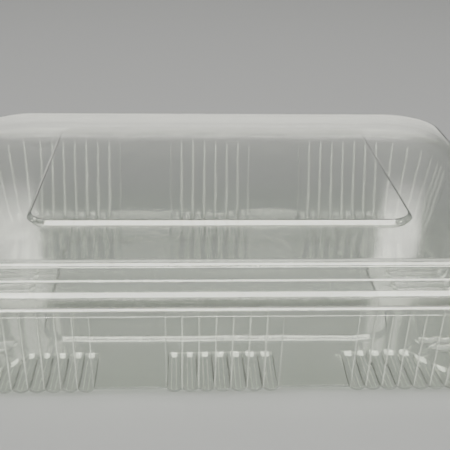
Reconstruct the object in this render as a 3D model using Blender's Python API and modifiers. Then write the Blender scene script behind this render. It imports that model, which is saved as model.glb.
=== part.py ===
"""Clear plastic clamshell pack: a fluted tray and a shallow lid, formed from one thin sheet.

Metres, +Z up. The origin is under the middle of the tray, on the surface it stands on.
+X runs along the long side and +Y towards the hinge. The lid is closed at rest.
"""
import math

import bmesh
import bpy
from mathutils import Vector

# Overall rim, measured over the lid's turned-down edge
RIM_LENGTH = 0.2100
RIM_WIDTH = 0.1700
RIM_CORNER_RADIUS = 0.0305

# The formed sheet, and the running gap between lid and tray
SHEET = 0.00045
LID_CLEARANCE = 0.0003

# Tray
TRAY_HEIGHT = 0.0368           # from the ground to the top of the tray's flange
FLANGE_REACH = 0.0075          # from the top of the tray's wall out to the rim's edge
WALL_SPREAD = 0.0068           # how much farther out the wall's top is than its foot
BOTTOM_BEND_RADIUS = 0.003
FLOOR_PANEL_END_INSET = 0.0440     # from the rim's edges in to the raised field in the floor
FLOOR_PANEL_SIDE_INSET = 0.0443
FLOOR_PANEL_CORNER = 0.0105
FLOOR_PANEL_RISE = 0.0015
FLOOR_PANEL_SLOPE = 0.0016

# Flutes: rounded ribs that run over the floor's edge and up the wall
FLUTE_PITCH = 0.005
FLUTE_DEPTH = 0.001
CENTRE_FLUTES = 7              # in the group at the middle of each side
LONG_RUN_FLUTES = 7            # beside each corner, on the long sides
SHORT_RUN_FLUTES = 3           # beside each corner, on the short sides
CORNER_FLUTES = 5              # around each corner
FLOOR_FLUTE_LENGTH = 0.0232    # how far a flute reaches in over the floor
CORNER_FLUTE_LENGTH = 0.0120   # the same at the corners, where the flutes draw together
CORNER_EASE = 0.0130           # length over which the one runs into the other
FLUTE_END = 0.0026             # length of a flute's rounded end
FLUTE_TOP = 0.0016             # where the flutes end, below the top of the wall
CREST_START = 0.28             # share of the pitch from a valley to the flute's crest

# Rim: the flange and its turned-down lip
RIM_FILLET = 0.0011            # between the tray's wall and its flange
TRAY_LIP_DEPTH = 0.0023        # from the flange's top to the lip's cut edge
TRAY_LIP_FLARE = 0.00015
LID_LIP_DEPTH = 0.0019         # how far the lid's lip reaches below the tray's flange
LIP_CLEARANCE = 0.00035
LIP_BEND = 0.0015
LIP_FADE_START = 0.05          # shares of a back corner over which the lips flatten out
LIP_FADE_END = 0.55

# Lid
LID_HEIGHT = 0.0108            # from the tray's flange to the lid's top
LID_WALL_INSET = 0.0078        # from the rim's edge in to the foot of the lid's wall
LID_FOOT_SLOPE = 0.0012        # width and height of the slope at the foot of the lid's wall
LID_WALL_SPREAD = 0.0003       # lean of each of the two stages of the lid's wall
LID_STEP_HEIGHT = 0.0051       # height of the small step in the lid's wall
LID_STEP_WIDTH = 0.0004
LID_SHOULDER_RADIUS = 0.0026
LID_PANEL_END_INSET = 0.0435       # from the rim's edges in to the raised field in the lid
LID_PANEL_SIDE_INSET = 0.0352
LID_PANEL_CORNER = 0.009
LID_PANEL_RISE = 0.0015
LID_PANEL_SLOPE = 0.0016

# Facets
ARC_STEPS = 8
SIDE_STEPS = 4
SLOPE_STEPS = 3

# Sizes that follow from those above
CORE_X = RIM_LENGTH / 2 - RIM_CORNER_RADIUS
CORE_Y = RIM_WIDTH / 2 - RIM_CORNER_RADIUS
WALL_TOP_RADIUS = RIM_CORNER_RADIUS - FLANGE_REACH
FOOT_RADIUS = WALL_TOP_RADIUS - WALL_SPREAD
FLOOR_Z = FLUTE_DEPTH
WALL_TOP_Z = TRAY_HEIGHT - SHEET - RIM_FILLET
LID_FLANGE_Z = TRAY_HEIGHT + LID_CLEARANCE + SHEET
LID_TOP_Z = TRAY_HEIGHT + LID_HEIGHT
FLOOR_PANEL_LENGTH = RIM_LENGTH - 2 * FLOOR_PANEL_END_INSET
FLOOR_PANEL_WIDTH = RIM_WIDTH - 2 * FLOOR_PANEL_SIDE_INSET
LID_PANEL_LENGTH = RIM_LENGTH - 2 * LID_PANEL_END_INSET
LID_PANEL_WIDTH = RIM_WIDTH - 2 * LID_PANEL_SIDE_INSET
HINGE_Y = RIM_WIDTH / 2 + LID_CLEARANCE / 2
HINGE_Z = TRAY_HEIGHT + LID_CLEARANCE / 2
# A place along a ring is a number from 0 to 12: for each quarter, one unit for the first half
# side, one for the corner's arc and one for the second half side
RING_END = 12.0


def clear_scene():
    for old in list(bpy.data.objects):
        bpy.data.objects.remove(old, do_unlink=True)


def ease(share):
    """Goes smoothly from 0 to 1 as share does."""
    share = max(0.0, min(1.0, share))
    return share * share * (3 - 2 * share)


def ring_point(core_x, core_y, radius, place):
    """The point at a place along a rounded rectangle, whose corners turn about its core."""
    quarter = int(place // 3) % 4
    along = place - 3 * (place // 3)
    if along < 1.0:
        x, y = core_x + radius, core_y * along
    elif along <= 2.0:
        angle = (along - 1.0) * math.pi / 2
        x = core_x + radius * math.cos(angle)
        y = core_y + radius * math.sin(angle)
    else:
        x, y = core_x * (3.0 - along), core_y + radius
    if quarter == 0:
        return x, y
    if quarter == 2:
        return -x, -y
    # The second and fourth quarters start on a long side
    if along < 1.0:
        x, y = core_x * along, core_y + radius
    elif along <= 2.0:
        angle = math.pi / 2 - (along - 1.0) * math.pi / 2
        x = core_x + radius * math.cos(angle)
        y = core_y + radius * math.sin(angle)
    else:
        x, y = core_x + radius, core_y * (3.0 - along)
    if quarter == 1:
        return -x, y
    return x, -y


def plain_places():
    """Places of a ring without flutes."""
    places = []
    for quarter in range(4):
        for step in range(1, SIDE_STEPS):
            places.append(3.0 * quarter + step / SIDE_STEPS)
        for step in range(ARC_STEPS + 1):
            places.append(3.0 * quarter + 1.0 + step / ARC_STEPS)
        for step in range(1, SIDE_STEPS):
            places.append(3.0 * quarter + 2.0 + step / SIDE_STEPS)
    return places


def half_side(core, run):
    """Distances from a side's middle to its corner, each with the flute's height there."""
    run = max(0, min(run, int((core - FLUTE_PITCH * (CENTRE_FLUTES / 2 + 1)) / FLUTE_PITCH)))
    crests = (CREST_START, 1.0 - CREST_START)
    marks = []
    for flute in range(CENTRE_FLUTES):
        start = (flute - CENTRE_FLUTES / 2) * FLUTE_PITCH
        marks += [(start + share * FLUTE_PITCH, 1.0) for share in crests]
        marks.append((start + FLUTE_PITCH, 0.0))
    marks = [mark for mark in marks if mark[0] > 0.0]
    first = core - run * FLUTE_PITCH
    marks.append((first, 0.0))
    for flute in range(run):
        start = first + flute * FLUTE_PITCH
        marks += [(start + share * FLUTE_PITCH, 1.0) for share in crests]
        marks.append((start + FLUTE_PITCH, 0.0))
    return marks


def fluted_places():
    """Places of a fluted ring: each with the flute's height and the distance to the corner."""
    places = []
    sides = ((CORE_Y, SHORT_RUN_FLUTES), (CORE_X, LONG_RUN_FLUTES))
    for quarter in range(4):
        (first, first_run), (last, last_run) = sides if quarter % 2 == 0 else sides[::-1]
        for distance, height in half_side(first, first_run):
            places.append((3.0 * quarter + distance / first, height, first - distance))
        for flute in range(CORNER_FLUTES):
            for share in (CREST_START, 1.0 - CREST_START, 1.0):
                height = 0.0 if share == 1.0 else 1.0
                place = 3.0 * quarter + 1.0 + (flute + share) / CORNER_FLUTES
                places.append((place, height, 0.0))
        for distance, height in half_side(last, last_run)[-2::-1]:
            places.append((3.0 * quarter + 3.0 - distance / last, height, last - distance))
    return places


def plain_row(bm, core_x, core_y, radius, z):
    """A level ring of vertices, as a list of place and vertex."""
    row = []
    for place in plain_places():
        x, y = ring_point(core_x, core_y, radius, place)
        row.append((place, bm.verts.new((x, y, z))))
    return row


def fluted_row(bm, radius_at, z, lean, fade):
    """A ring of vertices whose flutes stand off along lean, the profile's outward direction."""
    row = []
    for place, height, to_corner in fluted_places():
        stand = FLUTE_DEPTH * height * fade
        x, y = ring_point(CORE_X, CORE_Y, radius_at(to_corner) + lean[0] * stand, place)
        row.append((place, bm.verts.new((x, y, z + lean[1] * stand))))
    return row


def loft(bm, inner, outer, flip=False):
    """Faces between two rings, which may have different counts of vertices."""
    i, j = 0, 0
    while i < len(inner) or j < len(outer):
        a, b = inner[i % len(inner)], outer[j % len(outer)]
        a_next, b_next = inner[(i + 1) % len(inner)], outer[(j + 1) % len(outer)]
        a_place = a_next[0] + (RING_END if i + 1 >= len(inner) else 0.0)
        b_place = b_next[0] + (RING_END if j + 1 >= len(outer) else 0.0)
        if i < len(inner) and j < len(outer) and abs(a_place - b_place) < 1e-9:
            corners = [a[1], a_next[1], b_next[1], b[1]]
            i, j = i + 1, j + 1
        elif j >= len(outer) or (i < len(inner) and a_place < b_place):
            corners = [a[1], a_next[1], b[1]]
            i += 1
        else:
            corners = [a[1], b_next[1], b[1]]
            j += 1
        bm.faces.new(corners[::-1] if flip else corners)


def fill_level(bm, inner, outer, normal):
    """Fills the level strip between two rings of one height, whatever their outlines."""
    edges = []
    for row in (inner, outer):
        corners = [vertex for _, vertex in row]
        for corner, after in zip(corners, corners[1:] + corners[:1]):
            edges.append(bm.edges.get((corner, after)) or bm.edges.new((corner, after)))
    made = bmesh.ops.triangle_fill(bm, use_beauty=True, edges=edges, normal=normal)
    for face in [item for item in made["geom"] if isinstance(item, bmesh.types.BMFace)]:
        face.normal_update()
        if face.normal.dot(normal) < 0.0:
            face.normal_flip()


def loft_rows(bm, rows, flip=False):
    for inner, outer in zip(rows, rows[1:]):
        loft(bm, inner, outer, flip)


def panel_rows(bm, length, width, corner, slope, rise, z):
    """The raised field's rings, from its top edge down to its foot at z."""
    core_x, core_y = length / 2 - corner, width / 2 - corner
    rows = []
    for step in range(SLOPE_STEPS + 1):
        share = step / SLOPE_STEPS
        radius = corner - slope * (1.0 - share)
        rows.append(plain_row(bm, core_x, core_y, radius, z + rise * (1.0 - ease(share))))
    return rows


def lip_share(place):
    """1 where the lips turn down, falling to 0 along the back, where the hinge is."""
    if place > 6.0:
        return 1.0
    corner = place - 1.0 if place < 3.0 else 5.0 - place
    return 1.0 - ease((corner - LIP_FADE_START) / (LIP_FADE_END - LIP_FADE_START))


def rim_row(bm, lip_point, hinge_point, late=1.0):
    """A ring given by its inset from the rim's edge and height, at the lips and at the hinge.

    Where the one becomes the other, the inset changes later than the height if late is over 1.
    """
    row = []
    for place in plain_places():
        share = lip_share(place)
        change = (1.0 - share) ** late
        inset = lip_point[0] * (1.0 - change) + hinge_point[0] * change
        z = lip_point[1] * share + hinge_point[1] * (1.0 - share)
        x, y = ring_point(CORE_X, CORE_Y, RIM_CORNER_RADIUS - inset, place)
        row.append((place, bm.verts.new((x, y, z))))
    return row


def build_tray(bm):
    """The tray's outer face, from the middle of the floor out to the lip's cut edge."""
    field = panel_rows(bm, FLOOR_PANEL_LENGTH, FLOOR_PANEL_WIDTH, FLOOR_PANEL_CORNER,
                       FLOOR_PANEL_SLOPE, FLOOR_PANEL_RISE, FLOOR_Z)
    bm.faces.new([vertex for _, vertex in field[0][::-1]])
    loft_rows(bm, field)

    # The flutes' inner ends, which come closer to the wall near the corners
    def end_radius(to_corner):
        share = ease(to_corner / CORNER_EASE)
        reach = CORNER_FLUTE_LENGTH + (FLOOR_FLUTE_LENGTH - CORNER_FLUTE_LENGTH) * share
        return FOOT_RADIUS - reach

    down = (0.0, -1.0)
    rows = [fluted_row(bm, end_radius, FLOOR_Z, down, 0.0)]
    rows.append(fluted_row(bm, lambda d: end_radius(d) + FLUTE_END / 2, FLOOR_Z, down, 0.75))
    rows.append(fluted_row(bm, lambda d: end_radius(d) + FLUTE_END, FLOOR_Z, down, 1.0))

    # The bend from the floor to the leaning wall
    draft = math.atan2(WALL_SPREAD, WALL_TOP_Z - FLOOR_Z)
    bend_z = FLOOR_Z + BOTTOM_BEND_RADIUS
    tangent = BOTTOM_BEND_RADIUS * math.tan((math.pi / 2 - draft) / 2)
    bend_radius = FOOT_RADIUS - tangent
    for step in range(3):
        angle = (math.pi / 2 - draft) * step / 2
        lean = (math.sin(angle), -math.cos(angle))
        radius = bend_radius + BOTTOM_BEND_RADIUS * lean[0]
        z = bend_z + BOTTOM_BEND_RADIUS * lean[1]
        rows.append(fluted_row(bm, lambda d, at=radius: at, z, lean, 1.0))

    # The wall, and the flutes' ends under the rim
    flute_top_z = WALL_TOP_Z - FLUTE_TOP
    for z, fade in ((flute_top_z - FLUTE_END, 1.0), (flute_top_z, 0.0)):
        radius = FOOT_RADIUS + (z - FLOOR_Z) * math.tan(draft)
        rows.append(fluted_row(bm, lambda d, at=radius: at, z, lean, fade))

    # The rim, as insets from its edge and heights of the sheet's lower face
    wall_inset = RIM_CORNER_RADIUS - WALL_TOP_RADIUS
    flange_z = TRAY_HEIGHT - SHEET
    lip_inset = SHEET + LIP_CLEARANCE + SHEET
    lip_z = TRAY_HEIGHT - TRAY_LIP_DEPTH
    level = [(wall_inset, WALL_TOP_Z),
             (wall_inset - RIM_FILLET * 0.3, WALL_TOP_Z + RIM_FILLET * 0.7),
             (wall_inset - RIM_FILLET, flange_z)]
    rows += [rim_row(bm, point, point) for point in level]
    bend = (LIP_BEND - SHEET) * 0.5
    rows.append(rim_row(bm, (lip_inset + bend, flange_z), (lip_inset + bend, flange_z)))
    rows.append(rim_row(bm, (lip_inset + bend * 0.3, flange_z - bend * 0.3),
                        (lip_inset * 0.85, flange_z), 2.0))
    rows.append(rim_row(bm, (lip_inset, flange_z - bend), (lip_inset * 0.5, flange_z), 2.0))
    rows.append(rim_row(bm, (lip_inset - TRAY_LIP_FLARE, lip_z), (0.0, flange_z), 2.0))
    loft_rows(bm, rows)
    fill_level(bm, field[-1], rows[0], Vector((0.0, 0.0, -1.0)))


def build_lid(bm):
    """The lid's outer face, from the middle of its top out to its lip's cut edge."""
    rows = panel_rows(bm, LID_PANEL_LENGTH, LID_PANEL_WIDTH, LID_PANEL_CORNER,
                      LID_PANEL_SLOPE, LID_PANEL_RISE, LID_TOP_Z)
    bm.faces.new([vertex for _, vertex in rows[0]])

    foot_z = LID_FLANGE_Z + LID_FOOT_SLOPE
    step_z = TRAY_HEIGHT + LID_STEP_HEIGHT
    step_foot = LID_WALL_INSET + LID_WALL_SPREAD
    step_head = step_foot + LID_STEP_WIDTH
    shoulder_z = LID_TOP_Z - LID_SHOULDER_RADIUS
    shoulder = step_head + LID_WALL_SPREAD
    section = []
    for step in range(4):
        angle = math.pi / 2 * step / 3
        section.append((shoulder + LID_SHOULDER_RADIUS * (1.0 - math.sin(angle)),
                        shoulder_z + LID_SHOULDER_RADIUS * math.cos(angle)))
    section += [(step_head, step_z + LID_STEP_WIDTH),
                (step_foot, step_z),
                (LID_WALL_INSET, foot_z),
                (LID_WALL_INSET - LID_FOOT_SLOPE, LID_FLANGE_Z)]
    rows += [rim_row(bm, point, point) for point in section]
    bend = LIP_BEND * 0.8
    lip_z = TRAY_HEIGHT - LID_LIP_DEPTH
    rows.append(rim_row(bm, (bend, LID_FLANGE_Z), (bend, LID_FLANGE_Z)))
    rows.append(rim_row(bm, (bend * 0.3, LID_FLANGE_Z - bend * 0.3), (bend * 0.7, LID_FLANGE_Z)))
    rows.append(rim_row(bm, (0.0, LID_FLANGE_Z - bend), (bend * 0.35, LID_FLANGE_Z)))
    rows.append(rim_row(bm, (0.0, lip_z), (0.0, LID_FLANGE_Z)))
    loft_rows(bm, rows, flip=True)


def clear_plastic(name, colour, roughness):
    material = bpy.data.materials.new(name)
    material.use_nodes = True
    shader = material.node_tree.nodes["Principled BSDF"]
    shader.inputs["Base Color"].default_value = (*colour, 1.0)
    shader.inputs["Roughness"].default_value = roughness
    shader.inputs["Metallic"].default_value = 0.0
    shader.inputs["IOR"].default_value = 1.57
    shader.inputs["Transmission Weight"].default_value = 1.0
    return material


def shell_object(name, build, origin, material, collection):
    """A formed sheet: its outer face is built, then given its thickness on the inside."""
    bm = bmesh.new()
    build(bm)
    bmesh.ops.translate(bm, verts=bm.verts, vec=[-value for value in origin])
    mesh = bpy.data.meshes.new(name)
    bm.to_mesh(mesh)
    bm.free()
    mesh.shade_smooth()
    mesh.set_sharp_from_angle(angle=math.radians(40))
    mesh.materials.append(material)
    shell = bpy.data.objects.new(name, mesh)
    collection.objects.link(shell)
    shell.location = origin
    sheet = shell.modifiers.new("Sheet", "SOLIDIFY")
    sheet.thickness = SHEET
    sheet.offset = -1.0
    sheet.use_even_offset = True
    return shell


def main():
    clear_scene()
    collection = bpy.data.collections.new("clamshell_pack")
    bpy.context.scene.collection.children.link(collection)
    tray_plastic = clear_plastic("clear PET, tray", (0.86, 0.88, 0.86), 0.06)
    lid_plastic = clear_plastic("clear PET, lid", (0.87, 0.89, 0.87), 0.05)
    shell_object("tray", build_tray, (0.0, 0.0, 0.0), tray_plastic, collection)
    # The lid turns about the fold at the back, so its origin is there
    shell_object("lid", build_lid, (0.0, HINGE_Y, HINGE_Z), lid_plastic, collection)


main()
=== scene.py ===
import math

import bmesh
import bpy
from mathutils import Matrix, Vector


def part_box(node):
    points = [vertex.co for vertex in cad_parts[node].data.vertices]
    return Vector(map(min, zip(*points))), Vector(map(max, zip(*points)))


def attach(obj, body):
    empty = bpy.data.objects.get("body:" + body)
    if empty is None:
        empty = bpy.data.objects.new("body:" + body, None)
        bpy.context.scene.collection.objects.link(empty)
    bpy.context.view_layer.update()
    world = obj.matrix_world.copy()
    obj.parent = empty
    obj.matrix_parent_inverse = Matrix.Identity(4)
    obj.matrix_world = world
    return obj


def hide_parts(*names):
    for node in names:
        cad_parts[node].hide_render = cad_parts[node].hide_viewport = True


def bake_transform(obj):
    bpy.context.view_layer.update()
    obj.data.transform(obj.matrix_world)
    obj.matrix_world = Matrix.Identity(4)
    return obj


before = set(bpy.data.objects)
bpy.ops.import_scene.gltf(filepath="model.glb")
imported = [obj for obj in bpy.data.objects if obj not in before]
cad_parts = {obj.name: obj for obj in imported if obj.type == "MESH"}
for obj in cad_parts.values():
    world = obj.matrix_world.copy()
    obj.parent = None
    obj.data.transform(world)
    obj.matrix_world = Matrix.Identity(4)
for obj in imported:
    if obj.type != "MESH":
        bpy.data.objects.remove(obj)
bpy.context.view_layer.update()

mm = 0.001
tiny = 1e-6                      # metres, less than this apart counts as the same place
print("frame loaded")


def ease(share):
    share = max(0.0, min(1.0, share))
    return share * share * (3 - 2 * share)


def deselectAll():
    if bpy.context.object and bpy.context.object.mode != "OBJECT":
        bpy.ops.object.mode_set(mode="OBJECT")
    bpy.ops.object.select_all(action="DESELECT")


def makeActive(piece):
    deselectAll()
    piece.select_set(True)
    bpy.context.view_layer.objects.active = piece


def linearColour(hexCode, alpha=1.0):
    # sRGB hex to the linear values that the shaders take
    values = [int(hexCode[i:i + 2], 16) / 255 for i in (1, 3, 5)]
    linear = [v / 12.92 if v <= 0.04045 else ((v + 0.055) / 1.055) ** 2.4 for v in values]
    return (*linear, alpha)


def addNode(tree, kind, settings=None, sources=(), **links):
    # adds a node and sets its properties and sockets; sources go into its sockets in order,
    # and links into the sockets that they name
    node = tree.nodes.new(kind)
    for name, value in (settings or {}).items():
        if name in node.inputs:
            node.inputs[name].default_value = value
        else:
            setattr(node, name, value)
    for index, source in enumerate(sources):
        tree.links.new(source, node.inputs[index])
    for name, source in links.items():
        tree.links.new(source, node.inputs[name.replace("_", " ")])
    return node


def mixColours(tree, first, second, share):
    # from one hex colour to another by the share that a socket gives
    mix = addNode(tree, "ShaderNodeMix", {"data_type": "RGBA"}, Factor=share)
    mix.inputs[6].default_value = linearColour(first)
    mix.inputs[7].default_value = linearColour(second)
    return mix.outputs[2]


lidLow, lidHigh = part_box("lid")

rim = {
    "length": lidHigh[0] - lidLow[0],
    "width": lidHigh[1] - lidLow[1],
    "corner": 30.5 * mm,
    "sheet": 0.42 * mm,          # drawn PET, a little thinner than the solid
    "flangeTop": 36.8 * mm,      # top of the tray's flange
    "lidFlangeTop": 37.55 * mm,
    "fadeStart": 0.05,           # shares of a back corner over which the lips flatten out
    "fadeEnd": 0.55,
    "hingeInset": 0.62 * mm,     # the flanges stop here at the back, and the fold begins
    "hingeBend": 0.05 * mm,
    "bendSteps": 6,
}
coreX = rim["length"] / 2 - rim["corner"]
coreY = rim["width"] / 2 - rim["corner"]


def ringPoint(halfX, halfY, radius, place):
    # place runs 0 to 12 round the ring: half side, corner arc, half side in each quarter
    quarter = int(place // 3) % 4
    along = place - 3 * (place // 3)
    if quarter % 2:
        along = 3 - along
    if along < 1:
        x, y = halfX + radius, halfY * along
    elif along <= 2:
        angle = (along - 1) * math.pi / 2
        x, y = halfX + radius * math.cos(angle), halfY + radius * math.sin(angle)
    else:
        x, y = halfX * (3 - along), halfY + radius
    return ((x, y), (-x, y), (-x, -y), (x, -y))[quarter]


def lipShare(place):
    # 1 where the lips turn down, 0 along the back where the fold is
    if place > 6:
        return 1.0
    corner = place - 1 if place < 3 else 5 - place
    return 1 - ease((corner - rim["fadeStart"]) / (rim["fadeEnd"] - rim["fadeStart"]))


def roundedPath(corners):
    # corners are (inset, z, fillet); returns the path with each fillet drawn as an arc
    steps = rim["bendSteps"]
    mostOfSide = 0.49            # so that two fillets on one side never meet
    path = []
    for index, (x, z, fillet) in enumerate(corners):
        here = Vector((x, z))
        if fillet == 0 or index in (0, len(corners) - 1):
            path.append(here)
            continue
        before = Vector(corners[index - 1][:2]) - here
        after = Vector(corners[index + 1][:2]) - here
        half = before.angle(after) / 2
        reach = min(fillet / math.tan(half), before.length * mostOfSide, after.length * mostOfSide)
        fillet = reach * math.tan(half)
        before.normalize()
        after.normalize()
        start, end = here + before * reach, here + after * reach
        centre = here + (before + after).normalized() * (fillet / math.sin(half))
        for step in range(steps + 1):
            spoke = (start - centre).lerp(end - centre, step / steps)
            path.append(centre + spoke.normalized() * fillet)
    return path


def fieldRing(settings, base, share, places):
    # a ring round a raised field, from its foot at share 0 to its top at share 1
    length, width, corner = settings["field"]
    radius = corner - settings["fieldSlope"] * share
    z = base + settings["fieldRise"] * ease(share)
    halfX, halfY = length / 2 - corner, width / 2 - corner
    return [(*ringPoint(halfX, halfY, radius, place), z) for place in places]


def startRing(name, places):
    # a circle primitive whose vertices remember their place round the ring
    deselectAll()
    bpy.ops.mesh.primitive_circle_add(vertices=len(places), radius=0.05, fill_type="NOTHING")
    piece = bpy.context.object
    piece.name = name
    piece.data.name = name
    spots = piece.data.attributes.new("spot", "INT", "POINT")
    for index in range(len(places)):
        spots.data[index].value = index
    piece.data.attributes.new("ring", "INT", "POINT")
    bpy.ops.object.mode_set(mode="EDIT")
    bpy.ops.mesh.select_mode(type="VERT")
    bpy.ops.mesh.select_all(action="SELECT")
    return piece


def placeRing(piece, points):
    # moves the selected ring onto points and counts it
    bm = bmesh.from_edit_mesh(piece.data)
    spot, ring = (bm.verts.layers.int[name] for name in ("spot", "ring"))
    for vert in bm.verts:
        if vert.select:
            vert.co = points[vert[spot]]
            vert[ring] += 1
    bmesh.update_edit_mesh(piece.data)


def nextRing(piece, points):
    bpy.ops.mesh.extrude_edges_move()
    placeRing(piece, points)


shell = {
    "smoothAngle": 50,           # degrees, sharper edges stay sharp
    "flatWeight": 50,            # the middle of the modifier's scale
}


def finishShell(piece, outsideUp):
    # one skin to a sheet with its thickness on the inside; outsideUp says which side of
    # the level middle the mould's outside is
    makeActive(piece)
    bpy.ops.object.mode_set(mode="EDIT")
    bpy.ops.mesh.select_all(action="SELECT")
    bpy.ops.mesh.normals_make_consistent(inside=False)
    bm = bmesh.from_edit_mesh(piece.data)
    middle = min(bm.faces, key=lambda face: face.calc_center_median().xy.length)
    flip = (middle.normal.z > 0) != outsideUp
    bpy.ops.mesh.remove_doubles(threshold=tiny)
    if flip:
        bpy.ops.mesh.flip_normals()
    bpy.ops.object.mode_set(mode="OBJECT")
    for name in ("spot", "ring"):
        piece.data.attributes.remove(piece.data.attributes[name])
    thickenSheet(piece, rim["sheet"], -1)


def thickenSheet(piece, thickness, offset):
    # the second material is for creases and for the sheet's cut edge
    outer = len(piece.data.vertices)
    piece.data.materials.append(None)
    piece.data.materials.append(None)
    if "crease" in piece.data.attributes:
        grain, crease = (piece.data.attributes[name].data for name in ("grain", "crease"))
        for face in piece.data.polygons:
            creased = any(crease[index].value > 0.5 for index in face.vertices)
            fluted = all(grain[index].value > 0.5 for index in face.vertices)
            face.material_index = int(creased and fluted)
        piece.data.attributes.remove(piece.data.attributes["crease"])
    sheet = piece.modifiers.new("sheet", "SOLIDIFY")
    sheet.thickness = thickness
    sheet.offset = offset
    sheet.material_offset_rim = 1
    bpy.ops.object.modifier_apply(modifier="sheet")
    # 1 on the outer skin and -1 on the inner one
    skin = piece.data.attributes.new("skin", "FLOAT", "POINT")
    for index in range(len(piece.data.vertices)):
        skin.data[index].value = 1.0 if index < outer else -1.0
    bpy.ops.object.shade_smooth_by_angle(angle=math.radians(shell["smoothAngle"]))
    # flats keep level normals up to the bends beside them, so they mirror as flats
    even = piece.modifiers.new("even", "WEIGHTED_NORMAL")
    even.mode = "FACE_AREA"
    even.weight = shell["flatWeight"]
    even.keep_sharp = True
    bpy.ops.object.modifier_apply(modifier="even")


tray = {
    "flutePitch": 5.0 * mm,
    "fluteDepth": 1.0 * mm,
    "fluteMarks": (0.025, 0.12, 0.25, 0.37, 0.5, 0.63, 0.75, 0.88, 0.975, 1),
    "crestPower": 0.62,           # under 1 the crest is fuller than a cosine's
    "centreFlutes": 7,
    "longRun": 7,
    "shortRun": 3,
    "cornerFlutes": 5,
    "plainSteps": 4,              # across the plain wall between two groups
    "footRadius": 16.2 * mm,
    "wallTopRadius": 23.0 * mm,
    "wallTop": 35.25 * mm,
    "floor": 1.0 * mm,
    "bend": 3.0 * mm,
    "bendSteps": 8,
    "floorReach": 23.2 * mm,      # how far the flutes run in over the floor
    "cornerReach": 12.0 * mm,
    "cornerEase": 13.0 * mm,
    "fluteEnd": 2.6 * mm,
    "endRings": (0.05, 0.12, 0.22, 0.36, 0.52, 0.74, 1),    # shares of a round end
    "fluteTop": 1.6 * mm,         # where they end under the top of the wall
    "topRings": (0, 0.25, 0.5, 0.7, 0.85, 0.95, 1),
    "creaseFoot": 1.3 * mm,       # the sheet is drawn thin and hazy along the valleys above this
    "ballRings": (2, 3, 4, 5, 6),  # and in the round ends of the flutes
    "ballWidth": 0.3,
    "rimFoot": 0.25 * mm,         # the plain wall over the flutes starts this far in
    "rimFootRise": 0.4 * mm,
    "rimFootLean": 0.05 * mm,
    "rimFillet": 1.1 * mm,
    "lipInset": 0.82 * mm,        # leaves room for the lid's lip outside
    "lipBend": 0.7 * mm,
    "lipFlare": 0.15 * mm,
    "lipFoot": 34.5 * mm,
    "hingeEdge": 1.9 * mm,
    "field": (122 * mm, 81.4 * mm, 10.5 * mm),
    "fieldRise": 1.5 * mm,
    "fieldSlope": 1.6 * mm,
    "fieldSteps": 8,
    "fieldPlaces": 144,
}


def fluteHeight(aside, toEnd):
    # round crest, narrow valley and round ends; aside and toEnd run from 0 on the crest to 1
    away = min(1.0, math.hypot(aside, toEnd))
    return math.cos(math.pi / 2 * away) ** tray["crestPower"]


def fluteMarks(count):
    # (flutes passed, share aside of a crest) over a group of flutes
    return [(flute + share, abs(2 * share - 1))
            for flute in range(count) for share in tray["fluteMarks"]]


def halfSide(core, run):
    # (distance from the middle of the side, share aside of a crest) up to the corner
    pitch = tray["flutePitch"]
    centre = tray["centreFlutes"]
    marks = [((passed - centre / 2) * pitch, aside) for passed, aside in fluteMarks(centre)]
    marks = [mark for mark in marks if mark[0] > -tiny]
    first = core - run * pitch
    last = marks[-1][0]
    for step in range(1, tray["plainSteps"]):
        marks.append((last + (first - last) * step / tray["plainSteps"], 1.0))
    marks.append((first, 1.0))
    return marks + [(first + passed * pitch, aside) for passed, aside in fluteMarks(run)]


def flutedPlaces():
    # (place, share aside of a crest, distance to the corner) all the way round
    places = []
    sides = ((coreY, tray["shortRun"]), (coreX, tray["longRun"]))
    corner = tray["cornerFlutes"]
    for quarter in range(4):
        start = 3 * quarter
        (first, firstRun), (last, lastRun) = sides if quarter % 2 == 0 else sides[::-1]
        for distance, aside in halfSide(first, firstRun):
            places.append((start + distance / first, aside, first - distance))
        for passed, aside in fluteMarks(corner):
            places.append((start + 1 + passed / corner, aside, 0.0))
        for distance, aside in halfSide(last, lastRun)[-2::-1]:
            if distance > tiny:
                places.append((start + 3 - distance / last, aside, last - distance))
    return places


def markTexture(piece, places, topEnd):
    # grain where the mould is textured, crease where the drawn sheet is hazy
    for name in ("grain", "crease"):
        piece.data.attributes.new(name, "FLOAT", "POINT")
    grain, crease, spots, rings = (piece.data.attributes[name].data
                                   for name in ("grain", "crease", "spot", "ring"))
    valleys = [aside > 0.999 for _, aside, _ in places]
    for index, vert in enumerate(piece.data.vertices):
        spot = spots[index].value
        fluted = not all(valleys[(spot + step) % len(places)] for step in (-1, 0, 1))
        valley = valleys[spot] and vert.co.z > tray["creaseFoot"]
        ball = places[spot][1] < tray["ballWidth"] and rings[index].value in tray["ballRings"]
        grain[index].value = 1.0 if fluted and vert.co.z < topEnd else 0.0
        crease[index].value = 1.0 if grain[index].value and (valley or ball) else 0.0


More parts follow.
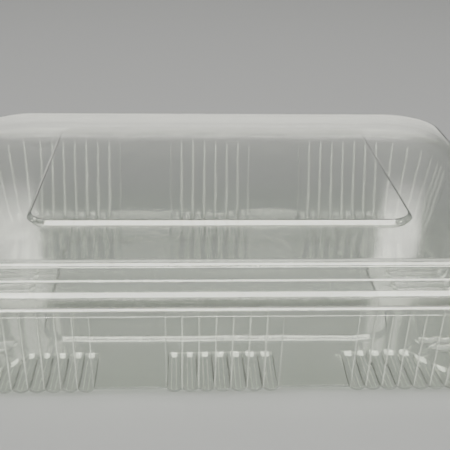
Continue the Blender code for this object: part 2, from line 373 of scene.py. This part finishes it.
def buildFlutes(piece, places):
    # from the flutes' round ends on the floor, over the bend and up the leaning wall
    floor, bend, foot = tray["floor"], tray["bend"], tray["footRadius"]
    down = Vector((0, -1))

    def flutedRing(radiusAt, z, lean, toEnd=0.0):
        ring = []
        for place, aside, toCorner in places:
            stand = tray["fluteDepth"] * fluteHeight(aside, toEnd)
            x, y = ringPoint(coreX, coreY, radiusAt(toCorner) + lean.x * stand, place)
            ring.append((x, y, z + lean.y * stand))
        return ring

    def endRadius(toCorner):
        share = ease(toCorner / tray["cornerEase"])
        return foot - (tray["cornerReach"] + (tray["floorReach"] - tray["cornerReach"]) * share)

    placeRing(piece, flutedRing(endRadius, floor, down, 1))
    for share in tray["endRings"]:
        nextRing(piece, flutedRing(lambda d: endRadius(d) + tray["fluteEnd"] * share,
                                   floor, down, 1 - share))
    draft = math.atan2(tray["wallTopRadius"] - foot, tray["wallTop"] - floor)
    tangent = bend * math.tan((math.pi / 2 - draft) / 2)
    for step in range(tray["bendSteps"] + 1):
        angle = (math.pi / 2 - draft) * step / tray["bendSteps"]
        lean = Vector((math.sin(angle), -math.cos(angle)))
        radius = foot - tangent + bend * lean.x
        nextRing(piece, flutedRing(lambda d: radius, floor + bend * (1 + lean.y), lean))
    topEnd = tray["wallTop"] - tray["fluteTop"]
    for share in tray["topRings"]:
        z = topEnd - tray["fluteEnd"] * (1 - share)
        radius = foot + (z - floor) * math.tan(draft)
        nextRing(piece, flutedRing(lambda d: radius, z, lean, share))
    return topEnd


def buildTrayRim(piece, places, topEnd):
    # flange and turned-down lip, given as insets from the rim's edge
    flangeUnder = rim["flangeTop"] - rim["sheet"]
    wallInset = rim["corner"] - tray["wallTopRadius"]
    lipInset = tray["lipInset"] + rim["sheet"]
    shared = [(wallInset + tray["rimFoot"], topEnd + tray["rimFootRise"], 0),
              (wallInset - tray["rimFootLean"], flangeUnder, tray["rimFillet"])]
    lipPath = roundedPath(shared + [(lipInset, flangeUnder, tray["lipBend"]),
                                    (lipInset - tray["lipFlare"], tray["lipFoot"], 0)])
    hingePath = roundedPath(shared + [(tray["hingeEdge"], flangeUnder, rim["hingeBend"]),
                                      (rim["hingeInset"], flangeUnder, 0)])
    for lip, hinge in zip(lipPath, hingePath):
        ring = []
        for place, _, _ in places:
            share = lipShare(place)
            # the inset leads the drop, so the lip clears the lid's as it turns down
            inset = hinge.x + (lip.x - hinge.x) * (1 - (1 - share) ** 2)
            z = hinge.y + (lip.y - hinge.y) * share
            ring.append((*ringPoint(coreX, coreY, rim["corner"] - inset, place), z))
        nextRing(piece, ring)


def joinFloorField(piece):
    # the raised field in the floor is a ring piece of its own, joined to the tray
    places = [12 * place / tray["fieldPlaces"] for place in range(tray["fieldPlaces"])]
    field = startRing("floorField", places)
    placeRing(field, fieldRing(tray, tray["floor"], 0, places))
    for step in range(1, tray["fieldSteps"] + 1):
        nextRing(field, fieldRing(tray, tray["floor"], step / tray["fieldSteps"], places))
    bpy.ops.mesh.edge_face_add()
    makeActive(piece)
    field.select_set(True)
    bpy.ops.object.join()

    # fill the level floor between the field and the flutes' ends
    bpy.ops.object.mode_set(mode="EDIT")
    bpy.ops.mesh.select_mode(type="EDGE")
    bpy.ops.mesh.select_all(action="DESELECT")
    bm = bmesh.from_edit_mesh(piece.data)
    for edge in bm.edges:
        level = all(abs(vert.co.z - tray["floor"]) < tiny for vert in edge.verts)
        if edge.is_boundary and level:
            edge.select_set(True)
    bmesh.update_edit_mesh(piece.data)
    bpy.ops.mesh.fill(use_beauty=True)


def buildTray():
    places = flutedPlaces()
    piece = startRing("trayShell", places)
    topEnd = buildFlutes(piece, places)
    buildTrayRim(piece, places, topEnd)
    deselectAll()
    markTexture(piece, places, topEnd)
    joinFloorField(piece)
    finishShell(piece, outsideUp=False)
    return piece


trayShell = buildTray()
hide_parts("tray")
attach(trayShell, "tray")
print("tray shell", len(trayShell.data.polygons))


lid = {
    "top": 47.6 * mm,
    "flatEdge": 14 * mm,          # a ring in the flat top, well inside the shoulder
    "shoulder": 2.6 * mm,
    "stepHeight": 42.1 * mm,
    "stepWidth": 0.4 * mm,
    "stepBend": 0.2 * mm,
    "wallInset": 7.8 * mm,
    "wallLean": 0.3 * mm,
    "footSlope": 1.2 * mm,        # the slope between the wall and the flange
    "footBend": 0.5 * mm,
    "lipBend": 1.2 * mm,
    "lipDrop": 34.9 * mm,
    "hingeEdge": 1.4 * mm,
    "field": (123 * mm, 99.6 * mm, 9 * mm),
    "fieldRise": 1.5 * mm,
    "fieldSlope": 1.6 * mm,
    "fieldSteps": 10,
    "arcSteps": 20,
    "sideSteps": 8,
}


def buildLid():
    places = []
    for start in range(0, 12, 3):
        for part, steps in enumerate((lid["sideSteps"], lid["arcSteps"], lid["sideSteps"])):
            places += [start + part + step / steps for step in range(steps)]
    piece = startRing("lidShell", places)
    placeRing(piece, fieldRing(lid, lid["top"], 1, places))
    bpy.ops.mesh.edge_face_add()
    bpy.ops.mesh.select_mode(type="VERT")
    for step in range(1, lid["fieldSteps"] + 1):
        nextRing(piece, fieldRing(lid, lid["top"], 1 - step / lid["fieldSteps"], places))

    # shoulder, stepped wall, flange and lip, given as insets from the rim's edge
    flangeTop = rim["lidFlangeTop"]
    slope, stepBend, footBend = lid["footSlope"], lid["stepBend"], lid["footBend"]
    stepFoot = lid["wallInset"] + lid["wallLean"]
    stepHead = stepFoot + lid["stepWidth"]
    topInset = stepHead + lid["wallLean"]
    shared = [(lid["flatEdge"], lid["top"], 0),
              (topInset, lid["top"], lid["shoulder"]),
              (stepHead, lid["stepHeight"] + stepBend, stepBend),
              (stepFoot, lid["stepHeight"] - stepBend, stepBend),
              (lid["wallInset"], flangeTop + slope, footBend),
              (lid["wallInset"] - slope, flangeTop, footBend)]
    lipPath = roundedPath(shared + [(0, flangeTop, lid["lipBend"]), (0, lid["lipDrop"], 0)])
    hingePath = roundedPath(shared + [(lid["hingeEdge"], flangeTop, rim["hingeBend"]),
                                      (rim["hingeInset"], flangeTop, 0)])
    for lip, hinge in zip(lipPath, hingePath):
        ring = []
        for place in places:
            point = hinge.lerp(lip, lipShare(place))
            ring.append((*ringPoint(coreX, coreY, rim["corner"] - point.x, place), point.y))
        nextRing(piece, ring)
    finishShell(piece, outsideUp=True)
    return piece


lidShell = buildLid()
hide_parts("lid")
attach(lidShell, "lid")
print("lid shell", len(lidShell.data.polygons))


fold = {
    "length": 146 * mm,
    "sheet": 0.26 * mm,
    "overlap": 0.3 * mm,          # how far the strip runs into each flange
    "bulge": 0.55,                # a half round's depth, squeezed to this share
    "steps": 12,
}


def buildFold():
    # a strip that leaves the tray's flange, turns over and enters the lid's flange
    half = rim["sheet"] / 2
    trayMiddle = rim["flangeTop"] - half
    lidMiddle = rim["lidFlangeTop"] - half
    edge = rim["width"] / 2 - rim["hingeInset"]
    radius = (lidMiddle - trayMiddle) / 2
    section = [(edge - fold["overlap"], trayMiddle)]
    for step in range(fold["steps"] + 1):
        angle = -math.pi / 2 + math.pi * step / fold["steps"]
        section.append((edge + radius * fold["bulge"] * math.cos(angle),
                        trayMiddle + radius * (1 + math.sin(angle))))
    section.append((edge - fold["overlap"], lidMiddle))

    # one edge of a plane is kept and drawn out along the section
    deselectAll()
    bpy.ops.mesh.primitive_plane_add(size=1)
    piece = bpy.context.object
    piece.name = "foldStrip"
    piece.data.name = "foldStrip"
    bpy.ops.object.mode_set(mode="EDIT")
    bpy.ops.mesh.select_all(action="SELECT")
    bpy.ops.mesh.delete(type="ONLY_FACE")
    bm = bmesh.from_edit_mesh(piece.data)
    for vert in list(bm.verts)[2:]:
        bm.verts.remove(vert)
    bm.verts.ensure_lookup_table()
    for vert, side in zip(bm.verts, (-0.5, 0.5)):
        vert.co = (side * fold["length"], *section[0])
    bmesh.update_edit_mesh(piece.data)
    bpy.ops.mesh.select_mode(type="EDGE")
    bpy.ops.mesh.select_all(action="SELECT")
    for (y, z), (nextY, nextZ) in zip(section, section[1:]):
        shift = (0, nextY - y, nextZ - z)
        bpy.ops.mesh.extrude_edges_move(TRANSFORM_OT_translate={"value": shift})
    bpy.ops.mesh.select_all(action="SELECT")
    bpy.ops.mesh.remove_doubles(threshold=tiny)
    bpy.ops.mesh.normals_make_consistent(inside=False)
    bpy.ops.object.mode_set(mode="OBJECT")
    thickenSheet(piece, fold["sheet"], 0)
    return piece, edge, trayMiddle, lidMiddle


foldStrip, foldEdge, foldStart, foldEnd = buildFold()
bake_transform(foldStrip)
print("fold strip", len(foldStrip.data.polygons))


plastic = {
    "tint": "#F7F8F6",           # PET is colourless, with a breath of grey-green in its edges, deepened by painted shade where the sheet is seen edge-on
    "edgeTintAndShade": "#BFC3BC",
    "edgeTintAndShadeBlend": 0.35,
    "shadow": "#EDF0EC",         # what the sheet takes from the light that falls through it
    "ior": 1.57,
    "roughness": 0.025,
    "foldRoughness": 0.05,
    "edgeRoughness": 0.1,
    "haze": (0.6, 1.6),          # the grain varies the roughness between these shares of it
    "waveLength": 22.0,          # mm, soft waves that the mould leaves in the drawn sheet
    "waveDepth": 0.6 * mm,       # times a strength, which differs from piece to piece
    "trayWave": 0.10,
    "lidWave": 0.07,
    "foldWave": 0.05,
    "grain": 0.8,                # mm, fine orange peel, coarser than real so that it shows
    "grainDepth": 0.05 * mm,     # times a strength, again
    "peel": 0.09,
    "flutePeel": 0.13,           # the same in the fluted walls, whose mould is textured
    "gloss": 0.3,                # a second, softer gloss that spreads the lamps' edges
    "glossRoughness": 0.16,
    "edgeClear": 0.76,           # share of light that still passes a crease or a cut edge
}


def addNoise(tree, place, size, detail):
    return addNode(tree, "ShaderNodeTexNoise", {"Scale": 1000 / size, "Detail": detail},
                   Vector=place).outputs["Fac"]


def clearPet(name, roughness, wave, clear=1.0):
    # thermoformed clear PET: sharp highlights along every edge, slightly wavy flats
    material = bpy.data.materials.new(name)
    material.use_nodes = True
    tree = material.node_tree
    tree.nodes.clear()
    place = addNode(tree, "ShaderNodeTexCoord").outputs["Object"]
    soft = addNoise(tree, place, plastic["waveLength"], 1.0)
    fine = addNoise(tree, place, plastic["grain"], 2.0)
    least, most = plastic["haze"]
    haze = addNode(tree, "ShaderNodeMapRange",
                   {"To Min": roughness * least, "To Max": roughness * most}, Value=fine)
    # the sheet seen edge-on turns darker grey-green: partly PET's own tint, partly painted shade
    # along the edges
    facing = addNode(tree, "ShaderNodeLayerWeight", {"Blend": plastic["edgeTintAndShadeBlend"]})
    tint = mixColours(tree, plastic["tint"], plastic["edgeTintAndShade"], facing.outputs["Facing"])
    # the inner skin dips where the outer one rises, so the sheet keeps its thickness
    skin = addNode(tree, "ShaderNodeAttribute", {"attribute_name": "skin"}).outputs["Fac"]
    softWave = addNode(tree, "ShaderNodeMath", {"operation": "MULTIPLY"}, (soft, skin))
    wavy = addNode(tree, "ShaderNodeBump", {"Strength": wave, "Distance": plastic["waveDepth"]},
                   Height=softWave.outputs[0])
    textured = addNode(tree, "ShaderNodeAttribute", {"attribute_name": "grain"}).outputs["Fac"]
    strength = addNode(tree, "ShaderNodeMapRange",
                       {"To Min": plastic["peel"], "To Max": plastic["flutePeel"]},
                       Value=textured)
    peel = addNode(tree, "ShaderNodeBump", {"Distance": plastic["grainDepth"]}, Height=fine,
                   Strength=strength.outputs["Result"], Normal=wavy.outputs["Normal"])
    shader = addNode(tree, "ShaderNodeBsdfPrincipled",
                     {"IOR": plastic["ior"], "Metallic": 0.0, "Transmission Weight": clear,
                      "Coat Weight": plastic["gloss"],
                      "Coat Roughness": plastic["glossRoughness"]},
                     Base_Color=tint, Roughness=haze.outputs["Result"],
                     Normal=peel.outputs["Normal"])
    # lamps shine through the thin sheet, as they do through the real one
    through = addNode(tree, "ShaderNodeBsdfTransparent",
                      {"Color": linearColour(plastic["shadow"])})
    lampRay = addNode(tree, "ShaderNodeLightPath").outputs["Is Shadow Ray"]
    surface = addNode(tree, "ShaderNodeMixShader", {},
                      (lampRay, shader.outputs["BSDF"], through.outputs["BSDF"]))
    addNode(tree, "ShaderNodeOutputMaterial", Surface=surface.outputs["Shader"])
    return material


trayPet = clearPet("thermoformed clear PET, tray", plastic["roughness"], plastic["trayWave"])
lidPet = clearPet("thermoformed clear PET, lid", plastic["roughness"], plastic["lidWave"])
foldPet = clearPet("thermoformed clear PET, fold", plastic["foldRoughness"], plastic["foldWave"])
# where the sheet is creased or cut it scatters a little light, which draws a pale line
edgePet = clearPet("creased and cut PET edge", plastic["edgeRoughness"], plastic["foldWave"],
                   plastic["edgeClear"])
for piece, material in ((trayShell, trayPet), (lidShell, lidPet), (foldStrip, foldPet)):
    piece.data.materials[0] = material
    piece.data.materials[1] = edgePet
print("materials done")


studio = {
    "floor": "#747578",
    "floorFar": "#FBFBFA",       # the lamps fall off there, so this paler paper is painted light that keeps the floor even
    "floorFade": (0.8, 4.0),     # metres from the pack
    "floorSize": 40,
    "floorRoughness": 0.7,
    "world": "#C4C7C8",
    "worldStrength": 0.42,
    "lampColour": "#FFFDF3",     # slightly warm, as the photograph's highlights are
    "aim": (0, 0, 0.02),
    # softboxes overhead and in front whiten every edge that leans to the front; the low ones
    # at the back stand in the lid's back edge, and the two tall ones in the flats at both
    # ends, as in the photograph
    # each is name, spot, size in metres, watts, soft share of the edge
    "lamps": (("overheadBox", (0, -0.75, 1.3), (2.2, 1.0), 75, 0.2),
              ("topBox", (0, 0.5, 1.45), (1.8, 1.5), 20, 0.2),
              ("frontBox", (0, -1.5, 0.75), (1.8, 0.5), 24, 0.3),
              ("lowBackBox", (0, 2.0, 0.527), (1.6, 0.22), 2.1, 0.05),
              ("lowBackStrip", (0, 2.0, 0.6545), (1.6, 0.026), 0.25, 0.3),
              ("sideBoxRight", (1.3, -1.2, 0.45), (0.12, 0.8), 1.5, 0.2),
              ("sideBoxLeft", (-1.3, -1.2, 0.45), (0.12, 0.8), 1.5, 0.2),
              ("backBoxRight", (0.536, 1.8, 1.09), (0.125, 0.75), 0.8, 0.4),
              ("backBoxLeft", (-0.431, 1.85, 1.11), (0.15, 0.75), 0.8, 0.4)),
}


def softenLamp(data, soft):
    # the cloth of a softbox is brightest in the middle and fades towards its frame
    data.use_nodes = True
    tree = data.node_tree
    spot = addNode(tree, "ShaderNodeNewGeometry").outputs["Parametric"]
    centred = addNode(tree, "ShaderNodeVectorMath", {"operation": "SUBTRACT"}, (spot,))
    centred.inputs[1].default_value = (0.5, 0.5, 0)
    aside = addNode(tree, "ShaderNodeVectorMath", {"operation": "ABSOLUTE"},
                    (centred.outputs["Vector"],))
    split = addNode(tree, "ShaderNodeSeparateXYZ", Vector=aside.outputs["Vector"])
    fade = {"interpolation_type": "SMOOTHSTEP", "From Min": 0.5 * (1 - soft), "From Max": 0.5,
            "To Min": 1.0, "To Max": 0.0}
    fades = [addNode(tree, "ShaderNodeMapRange", fade, Value=split.outputs[axis])
             for axis in ("X", "Y")]
    both = addNode(tree, "ShaderNodeMath", {"operation": "MULTIPLY"},
                   [node.outputs["Result"] for node in fades])
    tree.links.new(both.outputs[0], tree.nodes["Emission"].inputs["Strength"])


def buildFloor():
    deselectAll()
    bpy.ops.mesh.primitive_plane_add(size=studio["floorSize"], location=(0, 0, 0))
    floor = bpy.context.object
    floor.name = "studioFloor"
    # matt paper: plain, with painted light that makes it paler away from the pack where the lamps
    # fall off, so that it looks even from the pack to the horizon
    material = bpy.data.materials.new("matt paper floor")
    material.use_nodes = True
    tree = material.node_tree
    shader = tree.nodes["Principled BSDF"]
    shader.inputs["Roughness"].default_value = studio["floorRoughness"]
    place = addNode(tree, "ShaderNodeTexCoord").outputs["Object"]
    reach = addNode(tree, "ShaderNodeVectorMath", {"operation": "LENGTH"}, (place,))
    near, distant = studio["floorFade"]
    far = addNode(tree, "ShaderNodeMapRange",
                  {"interpolation_type": "SMOOTHSTEP", "From Min": near, "From Max": distant},
                  Value=reach.outputs["Value"])
    # the far paper's paleness is painted light, standing in for the lamps' light that falls off
    paper = mixColours(tree, studio["floor"], studio["floorFar"], far.outputs["Result"])
    tree.links.new(paper, shader.inputs["Base Color"])
    floor.data.materials.append(material)


def buildLight():
    world = bpy.data.worlds.new("studio")
    bpy.context.scene.world = world
    world.use_nodes = True
    background = world.node_tree.nodes["Background"]
    background.inputs["Color"].default_value = linearColour(studio["world"])
    background.inputs["Strength"].default_value = studio["worldStrength"]
    for name, spot, size, power, soft in studio["lamps"]:
        data = bpy.data.lights.new(name, "AREA")
        data.shape = "RECTANGLE"
        data.size, data.size_y = size
        data.energy = power
        data.color = linearColour(studio["lampColour"])[:3]
        softenLamp(data, soft)
        lamp = bpy.data.objects.new(name, data)
        bpy.context.collection.objects.link(lamp)
        lamp.location = spot
        aim = Vector(studio["aim"]) - Vector(spot)
        lamp.rotation_euler = aim.to_track_quat("-Z", "Y").to_euler()


# the photograph's viewing angle, from a pinhole fit to the flutes and the rim
view = {
    "spot": (-12.7 * mm, -311.8 * mm, 159.6 * mm),
    "pitch": 23.07,
    "yaw": 2.957,
    "roll": -1.063,
    "lens": 73.55,
    "sensor": 36,
    "near": 0.01,
}


def buildCamera():
    pitch, yaw, roll = (math.radians(view[name]) for name in ("pitch", "yaw", "roll"))
    ahead = Vector((math.sin(yaw) * math.cos(pitch), math.cos(yaw) * math.cos(pitch),
                    -math.sin(pitch)))
    level = Vector((math.cos(yaw), -math.sin(yaw), 0))
    under = ahead.cross(level)
    right = level * math.cos(roll) + under * math.sin(roll)
    up = level * math.sin(roll) - under * math.cos(roll)
    data = bpy.data.cameras.new("photoCamera")
    data.sensor_width = view["sensor"]
    data.sensor_fit = "HORIZONTAL"
    data.lens = view["lens"]
    data.clip_start = view["near"]
    camera = bpy.data.objects.new("photoCamera", data)
    bpy.context.collection.objects.link(camera)
    turn = Matrix((right, up, -ahead)).transposed().to_4x4()
    camera.matrix_world = Matrix.Translation(view["spot"]) @ turn
    bpy.context.scene.camera = camera


buildFloor()
buildLight()
buildCamera()
deselectAll()
print("studio done")
